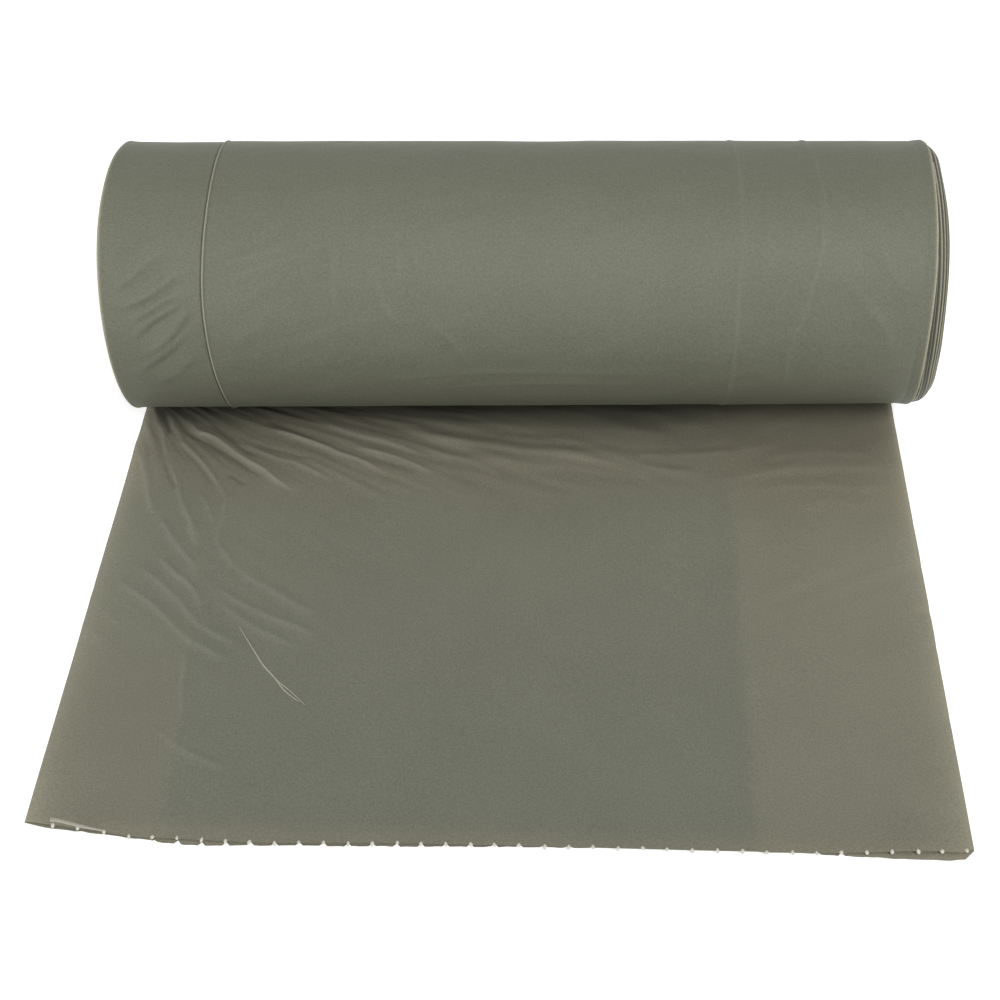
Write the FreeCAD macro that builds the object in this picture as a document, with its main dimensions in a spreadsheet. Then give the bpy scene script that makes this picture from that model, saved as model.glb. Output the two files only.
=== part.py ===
import math
import os

import FreeCAD
import Part
import Sketcher

# A roll of bin bags lying on its side with its first bag drawn out flat in front of it.
# The film is a wide tube, flattened and folded in three, so its side folds run down both
# ends of the roll. The model stands in a frame with +X along the roll, -Y towards the torn
# edge of the loose bag and +Z up. Lengths are in millimetres and angles in degrees.

os.makedirs("parts", exist_ok=True)
doc = FreeCAD.newDocument("BagRoll")

# Driving dimensions, one row of the sheet each: alias, value, what it measures
DIMENSIONS = [
    ("film_width", 385, "width of the folded film, side fold to side fold"),
    ("roll_radius", 66.4, "outside radius of the roll"),
    ("flat_sag", 1.5, "how far the soft roll flattens where it rests"),
    ("ply", 0.8, "one ply of the folded film with the air that it holds"),
    ("ply_gap", 0.3, "gap between two plies of the fold"),
    ("turn_gap", 0.9, "gap between two bundles of turns at the ends of the roll"),
    ("turn_pitch", 5.4, "distance between two such gaps along the radius"),
    ("turn_count", 9, "bundles of turns that show at an end"),
    ("gap_start", -62, "angle on the section at which the gap opens, just behind the flat foot"),
    ("gap_depth", 4, "depth of that gap at the rim"),
    ("shoulder", 8, "width of the coned shoulder of an end, along the radius"),
    ("drift", 7.5, "how far the inner turns slid out at the right end and in at the left one"),
    ("eye_length", 17, "length of the flattened eye that the turns are wound round"),
    ("eye_height", 8, "height of that eye"),
    ("flap_on_roll", 50, "left end of the roll to the edge of the outer flap"),
    ("tail_reach", 289, "middle of the roll to the torn edge of the loose bag"),
    ("tail_turn", -1.8, "angle by which the loose bag lies askew"),
    ("outer_flap_edge", 54, "left fold to the edge of the lowest ply of the loose bag"),
    ("inner_flap_edge", 300, "left fold to the edge of the middle ply"),
    ("torn_setback", 1.5, "how far the upper ply tore back from the lower ones"),
    ("tick_count", 38, "torn bonds along the perforation"),
    ("tick_pitch", 9.9, "distance between two of them"),
    ("first_tick", 15.5, "left fold to the first of them"),
    ("tick_width", 1.6, "width of the notch that a torn bond leaves"),
    ("tick_depth", 2.6, "depth of that notch"),
    ("overcut", 3, "how far the profile of a cut reaches past the film"),
]

sheet = doc.addObject("Spreadsheet::Sheet", "dims")
for row, (alias, value, meaning) in enumerate(DIMENSIONS, start=1):
    sheet.set(f"A{row}", alias)
    sheet.set(f"B{row}", str(value))
    sheet.set(f"C{row}", meaning)
    sheet.setAlias(f"B{row}", alias)
doc.recompute()

# The same quantities worked out from the sheet, as expressions that features are bound to
HALF_WIDTH = "dims.film_width / 2"
WEB = "(3 * dims.ply + 2 * dims.ply_gap)"
STEP = f"({WEB} + dims.turn_gap)"
AXIS_HEIGHT = "(dims.roll_radius - dims.flat_sag)"
LEFT_FOLD_RADIUS = "(dims.ply + dims.ply_gap / 2)"

X_AXIS = -1
Y_AXIS = -2
START = 1
END = 2
CENTRE = 3
LEAST_CUT = 1  # cubic millimetres


def size(alias):
    """Value of one cell of the sheet."""
    return float(sheet.get(alias))


half_width = size("film_width") / 2
web = 3 * size("ply") + 2 * size("ply_gap")
step = web + size("turn_gap")
pitch = size("turn_pitch")
axis_height = size("roll_radius") - size("flat_sag")


def point(x, y):
    return FreeCAD.Vector(x, y, 0)


def line(sketch, first, last):
    """Adds a straight edge between two points and returns its index."""
    return sketch.addGeometry(Part.LineSegment(point(*first), point(*last)), False)


def arc(sketch, centre, radius, from_angle, to_angle):
    """Adds an arc that turns counterclockwise between two angles in degrees."""
    circle = Part.Circle(point(*centre), FreeCAD.Vector(0, 0, 1), radius)
    edge = Part.ArcOfCircle(circle, math.radians(from_angle), math.radians(to_angle))
    return sketch.addGeometry(edge, False)


def hold(sketch, kind, *where):
    """Adds one geometric constraint."""
    sketch.addConstraint(Sketcher.Constraint(kind, *where))


def measure(sketch, name, expression, value, kind, *where):
    """Adds one dimension, names it and binds it to the sheet."""
    index = sketch.addConstraint(Sketcher.Constraint(kind, *where, value))
    sketch.renameConstraint(index, name)
    sketch.setExpression(f"Constraints.{name}", expression)


def new_sketch(body, name, plane, offset=None, turn=None):
    """Sketch on an origin plane; offset maps base coordinates to expressions."""
    sketch = body.newObject("Sketcher::SketchObject", name)
    origin_plane = [f for f in body.Origin.OriginFeatures if f.Role == plane][0]
    sketch.AttachmentSupport = (origin_plane, [""])
    sketch.MapMode = "FlatFace"
    if turn:
        sketch.AttachmentOffset = FreeCAD.Placement(
            FreeCAD.Vector(0, 0, 0), FreeCAD.Rotation(FreeCAD.Vector(*turn), 1)
        )
        sketch.setExpression("AttachmentOffset.Rotation.Angle", "dims.tail_turn")
    for coordinate, expression in (offset or {}).items():
        sketch.setExpression(f"AttachmentOffset.Base.{coordinate}", expression)
    doc.recompute()
    return sketch


def check_cut(feature):
    """Recomputes and makes sure that a cut took material away."""
    doc.recompute()
    if not feature.Shape.Volume < feature.BaseFeature.Shape.Volume - LEAST_CUT:
        raise RuntimeError(f"{feature.Name} cuts nothing")


def spiral_centre(sketch, expression, lead):
    """Second centre of a spiral, half of its lead above the roll's axis."""
    index = sketch.addGeometry(Part.Point(point(0, lead / 2)), True)
    hold(sketch, "PointOnObject", index, START, Y_AXIS)
    measure(
        sketch, "half_lead", f"{expression} / 2", lead / 2, "DistanceY", X_AXIS, START, index,
        START
    )
    return index


def roll_outline(sketch, inset, inset_expression):
    """Outer turn of the roll, set in by some depth: back half, front half and flat foot.

    The sketch's origin is on the roll's axis. The back half is centred there. The front half
    is centred half a step higher, so that the turn comes down on top of the loose bag, which
    runs on from the back half under it.
    """
    back = size("roll_radius") - inset
    front = back - step / 2
    floor = -axis_height + inset
    tail_top = -axis_height + web + inset
    toe = -math.sqrt(front**2 - (tail_top - step / 2) ** 2)
    heel = math.sqrt(back**2 - floor**2)
    upper = spiral_centre(sketch, STEP, step)
    heel_angle = math.degrees(math.atan2(floor, heel))
    toe_angle = math.degrees(math.atan2(tail_top - step / 2, toe)) + 360
    back_arc = arc(sketch, (0, 0), back, heel_angle, 90)
    front_arc = arc(sketch, (0, step / 2), front, 90, toe_angle)
    down = line(sketch, (toe, tail_top), (toe, floor))
    foot = line(sketch, (toe, floor), (heel, floor))
    hold(sketch, "Coincident", back_arc, CENTRE, X_AXIS, START)
    hold(sketch, "Coincident", front_arc, CENTRE, upper, START)
    hold(sketch, "Coincident", back_arc, END, front_arc, START)
    hold(sketch, "PointOnObject", back_arc, END, Y_AXIS)
    hold(sketch, "Coincident", front_arc, END, down, START)
    hold(sketch, "Coincident", down, END, foot, START)
    hold(sketch, "Coincident", foot, END, back_arc, START)
    hold(sketch, "Vertical", down)
    hold(sketch, "Horizontal", foot)
    measure(sketch, "radius", f"dims.roll_radius - {inset_expression}", back, "Radius", back_arc)
    measure(
        sketch, "foot_level", f"{AXIS_HEIGHT} - {inset_expression}", -floor, "DistanceY", foot,
        START, X_AXIS, START
    )
    measure(
        sketch, "tail_level", f"{AXIS_HEIGHT} - {WEB} - {inset_expression}", -tail_top,
        "DistanceY", down, START, X_AXIS, START
    )


def eye_outline(sketch):
    """Flattened eye at the middle of the roll: two round ends joined by straight sides."""
    radius = size("eye_height") / 2
    reach = size("eye_length") / 2 - radius
    left = arc(sketch, (-reach, 0), radius, 90, 270)
    right = arc(sketch, (reach, 0), radius, 270, 450)
    bottom = line(sketch, (-reach, -radius), (reach, -radius))
    top = line(sketch, (reach, radius), (-reach, radius))
    hold(sketch, "Tangent", left, END, bottom, START)
    hold(sketch, "Tangent", bottom, END, right, START)
    hold(sketch, "Tangent", right, END, top, START)
    hold(sketch, "Tangent", top, END, left, START)
    hold(sketch, "Symmetric", left, CENTRE, right, CENTRE, X_AXIS, START)
    hold(sketch, "Horizontal", bottom)
    measure(sketch, "eye_radius", "dims.eye_height / 2", radius, "Radius", left)
    measure(
        sketch, "eye_straight", "dims.eye_length - dims.eye_height", 2 * reach, "DistanceX", left,
        CENTRE, right, CENTRE
    )


def spiral_wall(sketch, name, radius, expression, upper, begin):
    """One wall of the gap between the turns: half-circle arcs about two centres in turn.

    Returns the first arc and the last one. Every arc starts where the one before it ends,
    on the vertical through the axis, which leaves only the first radius to be given.
    """
    first = arc(sketch, (0, 0), radius, begin, 90)
    measure(sketch, name, expression, radius, "Radius", first)
    hold(sketch, "Coincident", first, CENTRE, X_AXIS, START)
    hold(sketch, "PointOnObject", first, END, Y_AXIS)
    previous = first
    for half in range(1, 2 * int(size("turn_count"))):
        front = half % 2
        centre = (0, pitch / 2 if front else 0)
        from_angle = 90 if front else 270
        current = arc(sketch, centre, radius - half * pitch / 2, from_angle, from_angle + 180)
        if front:
            hold(sketch, "Coincident", current, CENTRE, upper, START)
        else:
            hold(sketch, "Coincident", current, CENTRE, X_AXIS, START)
        hold(sketch, "Coincident", previous, END, current, START)
        hold(sketch, "PointOnObject", current, END, Y_AXIS)
        previous = current
    return first, previous


def turn_gap_sketch(body, name, offset):
    """Long spiral gap between the bundles of turns, as it shows at one end of the roll."""
    begin = size("gap_start")
    sketch = new_sketch(body, name, "YZ_Plane", {"y": AXIS_HEIGHT, "z": offset})
    upper = spiral_centre(sketch, "dims.turn_pitch", pitch)
    outer_radius = size("roll_radius") - web
    inner_radius = outer_radius - size("turn_gap")
    outer = spiral_wall(
        sketch, "outer_wall", outer_radius, f"dims.roll_radius - {WEB}", upper, begin
    )
    inner = spiral_wall(
        sketch, "inner_wall", inner_radius, f"dims.roll_radius - {STEP}", upper, begin
    )
    direction = (math.cos(math.radians(begin)), math.sin(math.radians(begin)))
    ends = [(radius * direction[0], radius * direction[1]) for radius in (inner_radius, outer_radius)]
    mouth = line(sketch, *ends)
    hold(sketch, "Coincident", mouth, START, inner[0], START)
    hold(sketch, "Coincident", mouth, END, outer[0], START)
    hold(sketch, "PointOnObject", X_AXIS, START, mouth)
    measure(sketch, "mouth_angle", "dims.gap_start * 1 deg", math.radians(begin), "Angle", mouth)
    wound_in = pitch * int(size("turn_count"))
    last = [(0, wound_in - radius) for radius in (outer_radius, inner_radius)]
    back = line(sketch, *last)
    hold(sketch, "Coincident", back, START, outer[1], END)
    hold(sketch, "Coincident", back, END, inner[1], END)
    return sketch


def cone_sketch(body, name, end_x, hollow):
    """Profile of what an end of the roll loses, to be turned about the roll's axis.

    The turns have slid along the roll, so the shoulder of an end is a cone: raised towards
    the middle on the right, where the profile lies outside it, and hollow on the left.
    """
    radius = size("roll_radius")
    drift = size("drift")
    flat = radius - size("shoulder")
    clear = size("overcut")
    rim = (end_x, radius)
    foot = (end_x + drift, flat)
    if hollow:
        corners = [rim, foot, (end_x + drift, 0), (end_x - clear, 0), (end_x - clear, radius), rim]
    else:
        far = end_x + drift + clear
        corners = [rim, foot, (far, flat), (far, radius + clear), (end_x, radius + clear), rim]
    sketch = new_sketch(body, name, "XZ_Plane", {"y": AXIS_HEIGHT})
    edges = [line(sketch, a, b) for a, b in zip(corners, corners[1:])]
    for one, other in zip(edges, edges[1:] + edges[:1]):
        hold(sketch, "Coincident", one, END, other, START)
    for number, edge in enumerate(edges[1:], start=1):
        upright = corners[number][0] == corners[number + 1][0]
        hold(sketch, "Vertical" if upright else "Horizontal", edge)
    slope = edges[0]
    origin = (X_AXIS, START)
    measure(sketch, "rim_radius", "dims.roll_radius", radius, "DistanceY", *origin, slope, START)
    measure(
        sketch, "flat_radius", "dims.roll_radius - dims.shoulder", flat, "DistanceY", *origin,
        slope, END
    )
    measure(sketch, "slide", "dims.drift", drift, "DistanceX", slope, START, slope, END)
    if hollow:
        measure(sketch, "rim_place", HALF_WIDTH, -end_x, "DistanceX", slope, START, *origin)
        measure(sketch, "clear_out", "dims.overcut", clear, "DistanceX", edges[3], END, slope, START)
        hold(sketch, "PointOnObject", edges[1], END, X_AXIS)
    else:
        measure(sketch, "rim_place", HALF_WIDTH, end_x, "DistanceX", *origin, slope, START)
        measure(sketch, "clear_out", "dims.overcut", clear, "DistanceX", edges[1], START, edges[1], END)
        measure(sketch, "clear_up", "dims.overcut", clear, "DistanceY", slope, START, edges[3], END)
    return sketch


def web_section(body):
    """Section of the film as it is folded in three, seen along the loose bag.

    The upper ply runs the whole width. The middle ply hangs on the left fold and the lowest
    ply on the right one, and each ends in a free edge under the others.
    """
    ply = size("ply")
    left_radius = ply + size("ply_gap") / 2
    right_radius = web / 2
    low = 0
    low_top = ply
    mid = ply + size("ply_gap")
    mid_top = mid + ply
    high = mid_top + size("ply_gap")
    left = -half_width + left_radius
    right = half_width - right_radius
    outer_edge = -half_width + size("outer_flap_edge")
    inner_edge = -half_width + size("inner_flap_edge")
    sketch = new_sketch(body, "web_section", "XZ_Plane", turn=(0, 1, 0))
    bottom = line(sketch, (outer_edge, low), (right, low))
    right_outer = arc(sketch, (right, web / 2), right_radius, -90, 90)
    top = line(sketch, (right, web), (left, web))
    left_outer = arc(sketch, (left, web - left_radius), left_radius, 90, 270)
    mid_under = line(sketch, (left, mid), (inner_edge, mid))
    mid_edge = line(sketch, (inner_edge, mid), (inner_edge, mid_top))
    mid_over = line(sketch, (inner_edge, mid_top), (left, mid_top))
    left_inner = arc(sketch, (left, web - left_radius), left_radius - ply, 90, 270)
    high_under = line(sketch, (left, high), (right, high))
    right_inner = arc(sketch, (right, web / 2), right_radius - ply, -90, 90)
    low_over = line(sketch, (right, low_top), (outer_edge, low_top))
    low_edge = line(sketch, (outer_edge, low_top), (outer_edge, low))
    hold(sketch, "Tangent", bottom, END, right_outer, START)
    hold(sketch, "Tangent", right_outer, END, top, START)
    hold(sketch, "Tangent", top, END, left_outer, START)
    hold(sketch, "Tangent", left_outer, END, mid_under, START)
    hold(sketch, "Coincident", mid_under, END, mid_edge, START)
    hold(sketch, "Coincident", mid_edge, END, mid_over, START)
    hold(sketch, "Tangent", mid_over, END, left_inner, END)
    hold(sketch, "Tangent", left_inner, START, high_under, START)
    hold(sketch, "Tangent", high_under, END, right_inner, END)
    hold(sketch, "Tangent", right_inner, START, low_over, START)
    hold(sketch, "Coincident", low_over, END, low_edge, START)
    hold(sketch, "Coincident", low_edge, END, bottom, START)
    for edge in (bottom, mid_under, high_under):
        hold(sketch, "Horizontal", edge)
    for edge in (mid_edge, low_edge):
        hold(sketch, "Vertical", edge)
    hold(sketch, "Coincident", right_outer, CENTRE, right_inner, CENTRE)
    hold(sketch, "Coincident", left_outer, CENTRE, left_inner, CENTRE)
    hold(sketch, "PointOnObject", bottom, START, X_AXIS)
    origin = (X_AXIS, START)
    measure(sketch, "right_fold", f"{WEB} / 2", right_radius, "Radius", right_outer)
    measure(sketch, "left_fold", LEFT_FOLD_RADIUS, left_radius, "Radius", left_outer)
    measure(sketch, "low_ply", "dims.ply", ply, "DistanceY", low_edge, END, low_edge, START)
    measure(sketch, "mid_ply", "dims.ply", ply, "DistanceY", mid_edge, START, mid_edge, END)
    measure(
        sketch, "right_side", f"{HALF_WIDTH} - {WEB} / 2", right, "DistanceX", *origin,
        right_outer, CENTRE
    )
    measure(
        sketch, "left_side", f"{HALF_WIDTH} - {LEFT_FOLD_RADIUS}", -left, "DistanceX", left_outer,
        CENTRE, *origin
    )
    measure(
        sketch, "low_free_edge", f"{HALF_WIDTH} - dims.outer_flap_edge", -outer_edge, "DistanceX",
        bottom, START, *origin
    )
    measure(
        sketch, "mid_free_edge", f"dims.inner_flap_edge - {HALF_WIDTH}", inner_edge, "DistanceX",
        *origin, mid_under, END
    )
    return sketch


def setback_sketch(body):
    """Strip along the torn edge where the upper ply is missing."""
    clear = size("overcut")
    reach = size("tail_reach")
    edge = -reach + size("torn_setback")
    sketch = new_sketch(body, "setback", "XY_Plane", {"z": WEB}, turn=(0, 0, 1))
    x0 = half_width + clear
    corners = [(-x0, edge), (x0, edge), (x0, -reach - clear), (-x0, -reach - clear), (-x0, edge)]
    sides = [line(sketch, a, b) for a, b in zip(corners, corners[1:])]
    for one, other in zip(sides, sides[1:] + sides[:1]):
        hold(sketch, "Coincident", one, END, other, START)
    hold(sketch, "Vertical", sides[1])
    hold(sketch, "Horizontal", sides[2])
    hold(sketch, "Vertical", sides[3])
    hold(sketch, "Symmetric", sides[0], START, sides[0], END, Y_AXIS)
    measure(
        sketch, "torn_line", "dims.tail_reach - dims.torn_setback", -edge, "DistanceY", sides[0],
        START, X_AXIS, START
    )
    measure(
        sketch, "past_edge", "dims.torn_setback + dims.overcut", size("torn_setback") + clear,
        "DistanceY", sides[2], START, sides[0], START
    )
    measure(
        sketch, "past_sides", "dims.film_width + 2 * dims.overcut", 2 * x0, "DistanceX", sides[0],
        START, sides[0], END
    )
    return sketch


def tick_sketch(body):
    """Notch that one torn bond of the perforation leaves in the edge."""
    reach = size("tail_reach")
    middle = -half_width + size("first_tick")
    half = size("tick_width") / 2
    clear = size("overcut")
    sketch = new_sketch(body, "tick", "XY_Plane", turn=(0, 0, 1))
    tip = (middle, -reach + size("tick_depth"))
    corners = [
        (middle - half, -reach),
        (middle - half, -reach - clear),
        (middle + half, -reach - clear),
        (middle + half, -reach),
        tip,
        (middle - half, -reach),
    ]
    sides = [line(sketch, a, b) for a, b in zip(corners, corners[1:])]
    for one, other in zip(sides, sides[1:] + sides[:1]):
        hold(sketch, "Coincident", one, END, other, START)
    hold(sketch, "Vertical", sides[0])
    hold(sketch, "Horizontal", sides[1])
    hold(sketch, "Vertical", sides[2])
    hold(sketch, "Equal", sides[3], sides[4])
    hold(sketch, "Equal", sides[0], sides[2])
    measure(sketch, "mouth", "dims.tick_width", 2 * half, "DistanceX", sides[1], START, sides[1], END)
    measure(
        sketch, "depth", "dims.tick_depth", size("tick_depth"), "DistanceY", sides[2], END,
        sides[3], END
    )
    measure(
        sketch, "edge_line", "dims.tail_reach", reach, "DistanceY", sides[2], END, X_AXIS, START
    )
    measure(sketch, "past_edge", "dims.overcut", clear, "DistanceY", sides[1], START, sides[0], START)
    measure(
        sketch, "place", f"{HALF_WIDTH} - dims.first_tick", -middle, "DistanceX", sides[3], END,
        X_AXIS, START
    )
    return sketch


body = doc.addObject("PartDesign::Body", "bag_roll")
body.Label = "bag_roll"

# The wound roll with its eye, longer at the right end by what the inner turns stand out
roll_section = new_sketch(
    body, "roll_section", "YZ_Plane", {"y": AXIS_HEIGHT, "z": f"-{HALF_WIDTH}"}
)
roll_outline(roll_section, 0, "0")
eye_outline(roll_section)
roll = body.newObject("PartDesign::Pad", "roll")
roll.Profile = roll_section
roll.setExpression("Length", "dims.film_width + dims.drift")
doc.recompute()

# The telescoped ends: raised on the right and hollow on the left
dome_profile = cone_sketch(body, "dome_profile", half_width, False)
dome = body.newObject("PartDesign::Groove", "dome")
dome.Profile = dome_profile
dome.ReferenceAxis = (dome_profile, ["H_Axis"])
dome.Angle = 360
check_cut(dome)

dish_profile = cone_sketch(body, "dish_profile", -half_width, True)
dish = body.newObject("PartDesign::Groove", "dish")
dish.Profile = dish_profile
dish.ReferenceAxis = (dish_profile, ["H_Axis"])
dish.Angle = 360
check_cut(dish)

# The spiral gap between the turns, cut in from both ends
right_turns = turn_gap_sketch(body, "right_turns", f"{HALF_WIDTH} + dims.drift")
right_gap = body.newObject("PartDesign::Pocket", "right_gap")
right_gap.Profile = right_turns
right_gap.setExpression("Length", "dims.drift + dims.gap_depth")
check_cut(right_gap)

left_turns = turn_gap_sketch(body, "left_turns", f"-{HALF_WIDTH}")
left_gap = body.newObject("PartDesign::Pocket", "left_gap")
left_gap.Profile = left_turns
left_gap.Reversed = True
left_gap.setExpression("Length", "dims.drift + dims.gap_depth")
check_cut(left_gap)

# The outer flap ends short of the left end, so the roll is one ply thinner there
flap_step_section = new_sketch(
    body, "flap_step_section", "YZ_Plane", {"y": AXIS_HEIGHT, "z": f"-{HALF_WIDTH}"}
)
around = flap_step_section.addGeometry(
    Part.Circle(point(0, 0), FreeCAD.Vector(0, 0, 1), size("roll_radius") + size("overcut")), False
)
hold(flap_step_section, "Coincident", around, CENTRE, X_AXIS, START)
measure(
    flap_step_section, "around", "dims.roll_radius + dims.overcut",
    size("roll_radius") + size("overcut"), "Radius", around
)
roll_outline(flap_step_section, size("ply"), "dims.ply")
flap_step = body.newObject("PartDesign::Pocket", "flap_step")
flap_step.Profile = flap_step_section
flap_step.Reversed = True
flap_step.setExpression("Length", "dims.flap_on_roll")
check_cut(flap_step)

# The first bag, drawn out flat from under the roll
loose_bag = body.newObject("PartDesign::Pad", "loose_bag")
loose_bag.Profile = web_section(body)
loose_bag.setExpression("Length", "dims.tail_reach")
doc.recompute()

setback = body.newObject("PartDesign::Pocket", "torn_back")
setback.Profile = setback_sketch(body)
setback.setExpression("Length", "dims.ply")
check_cut(setback)

# The torn perforation: one notch, repeated along the edge
notch = body.newObject("PartDesign::Pocket", "notch")
notch.Profile = tick_sketch(body)
notch.Reversed = True
notch.setExpression("Length", f"{WEB} + dims.overcut")
check_cut(notch)

perforation = body.newObject("PartDesign::LinearPattern", "perforation")
perforation.Originals = [notch]
perforation.Direction = (notch.Profile[0], ["H_Axis"])
perforation.setExpression("Length", "dims.tick_pitch * (dims.tick_count - 1)")
perforation.setExpression("Occurrences", "dims.tick_count")
body.Tip = perforation
doc.recompute()

# The frame's origin is in the middle of the footprint, so the body moves by these distances
askew = "sin(-dims.tail_turn * 1 deg)"
straight = "cos(dims.tail_turn * 1 deg)"
leftmost = f"({HALF_WIDTH} * {straight} + dims.tail_reach * {askew})"
nearest = f"({HALF_WIDTH} * {askew} + dims.tail_reach * {straight})"
body.setExpression(
    ".Placement.Base.x", f"({leftmost} - {HALF_WIDTH} - dims.drift) / 2"
)
body.setExpression(".Placement.Base.y", f"({nearest} - dims.roll_radius) / 2")
doc.recompute()

for item in doc.Objects:
    if "Invalid" in item.State or "Error" in item.State:
        raise RuntimeError(f"{item.Name} failed: {item.State}")

if body.Shape.isNull() or not body.Shape.isValid():
    raise RuntimeError(f"{body.Label} has no valid shape")
body.Shape.exportStep(f"parts/{body.Label}.step")
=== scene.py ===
import math

import bpy
import numpy as np
from mathutils import Matrix, Vector


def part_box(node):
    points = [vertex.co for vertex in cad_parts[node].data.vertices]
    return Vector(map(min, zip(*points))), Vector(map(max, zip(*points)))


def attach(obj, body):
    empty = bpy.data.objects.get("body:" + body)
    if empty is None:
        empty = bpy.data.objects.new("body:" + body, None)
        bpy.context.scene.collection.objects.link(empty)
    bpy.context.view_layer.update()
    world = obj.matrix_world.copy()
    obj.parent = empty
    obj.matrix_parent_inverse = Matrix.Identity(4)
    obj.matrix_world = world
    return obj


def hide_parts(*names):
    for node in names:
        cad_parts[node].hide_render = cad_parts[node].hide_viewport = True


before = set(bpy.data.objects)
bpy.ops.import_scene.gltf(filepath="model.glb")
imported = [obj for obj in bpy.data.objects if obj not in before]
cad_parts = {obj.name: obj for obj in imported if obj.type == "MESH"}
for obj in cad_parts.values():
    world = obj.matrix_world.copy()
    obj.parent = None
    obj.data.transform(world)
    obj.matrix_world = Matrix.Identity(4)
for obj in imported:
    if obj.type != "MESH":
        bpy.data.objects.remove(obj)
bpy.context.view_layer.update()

# The roll of bin bags as it was photographed: one web of thin film, folded in three and wound
# without a core, with its first bag drawn out flat. Everything below is worked out in
# millimetres and turned to metres when a mesh is made.
MM = 0.001

# Driving sizes of the web and the roll
FILM_WIDTH = 385.0        # folded film, side fold to side fold
ROLL_RADIUS = 66.4
FLAT_SAG = 1.5            # the soft roll flattens by this where it rests
STEP = 3.9                # one turn of the folded web, where it leaves the roll
END_RISE = 7.5            # the inner turns have slid along by this
TURN_PITCH = 5.4          # from one bundle of turns to the next, along the radius
TURN_GAP = 0.9
TAPER = 0.0125            # the left end is wound a little fuller than the right one
TAIL_REACH = 289.0        # middle of the roll to the torn edge
TAIL_TURN = math.radians(-1.8)
EYE_LENGTH = 17.0
EYE_HEIGHT = 8.0
LOWER_FLAP = 54.0         # left fold to the free edge of the lowest ply
MIDDLE_FLAP = 300.0       # left fold to the free edge of the middle ply
FLAP_ON_ROLL = 49.3       # left fold to the edge of the outer flap, round the roll
TICK_PITCH = 9.9
FIRST_TICK = 15.5
TICK_COUNT = 38
WIDE_FOLD = 2.3           # a fold wider than this has no crest that looks paler
FIRST_GAP = 1.6           # how far in the first gap would stand where the web leaves the roll
END_RECESS = 5.0          # the roll's closed ends stand back by this behind the turns' edges
BEAD = 0.55               # radius of the rounded edge of the outer flap
SPREAD = 1.2              # the loose bag has spread by this at its left fold
LEAD_IN = 2               # turns that lie pressed together before the first gap opens

# Where the roll's middle stands in the frame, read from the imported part
box_low, box_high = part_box("bag_roll")
MIDDLE_X = box_high.x / MM - FILM_WIDTH / 2 - END_RISE
AXIS_Y = box_high.y / MM - ROLL_RADIUS
DEGREE = math.radians(1) * ROLL_RADIUS  # arc length of one degree round the roll


def linear(colour):
    """sRGB hex colour as linear RGB with full alpha."""
    values = [int(colour[i:i + 2], 16) / 255 for i in (1, 3, 5)]
    return tuple(c / 12.92 if c <= 0.04045 else ((c + 0.055) / 1.055) ** 2.4 for c in values) + (1,)


def add_node(tree, kind, settings=None, links=None):
    """Adds a node, sets its properties or sockets, and links its inputs."""
    node = tree.nodes.new(kind)
    for name, value in (settings or {}).items():
        if isinstance(name, int) or name in node.inputs:
            node.inputs[name].default_value = value
        else:
            setattr(node, name, value)
    for name, source in (links or {}).items():
        tree.links.new(source, node.inputs[name])
    return node


# Smooth random fields, seeded so that every run gives the same film

def value_noise(x, y, cell, seed):
    """Smooth noise between -1 and 1 with features about one cell wide."""
    rng = np.random.default_rng(seed)
    cells = 64
    table = rng.uniform(-1, 1, (cells, cells))
    gx, gy = np.asarray(x) / cell, np.asarray(y) / cell
    ix, iy = np.floor(gx).astype(int), np.floor(gy).astype(int)
    fx, fy = gx - ix, gy - iy
    fx, fy = fx * fx * (3 - 2 * fx), fy * fy * (3 - 2 * fy)
    near = [table[(ix + i) % cells, (iy + j) % cells] for i in (0, 1) for j in (0, 1)]
    low = near[0] * (1 - fy) + near[1] * fy
    high = near[2] * (1 - fy) + near[3] * fy
    return low * (1 - fx) + high * fx


def smoothstep(low, high, x):
    """0 below low and 1 above high, with a smooth rise between; it falls where low is above high."""
    t = np.clip((np.asarray(x, float) - low) / (high - low), 0, 1)
    return t * t * (3 - 2 * t)


def curve_points(points, per_span=6):
    """Smooth line through given points."""
    p = np.asarray(points, float)
    if len(p) == 2:
        return p[0] + np.linspace(0, 1, per_span + 1)[:, None] * (p[1] - p[0])
    ends = np.vstack([2 * p[0] - p[1], p, 2 * p[-1] - p[-2]])
    line = []
    for a, b, c, d in zip(ends, ends[1:], ends[2:], ends[3:]):
        for t in np.linspace(0, 1, per_span, endpoint=False):
            line.append(
                0.5 * (2 * b + (c - a) * t + (2 * a - 5 * b + 4 * c - d) * t**2
                       + (3 * b - a - 3 * c + d) * t**3)
            )
    line.append(p[-1])
    return np.array(line)


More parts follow.
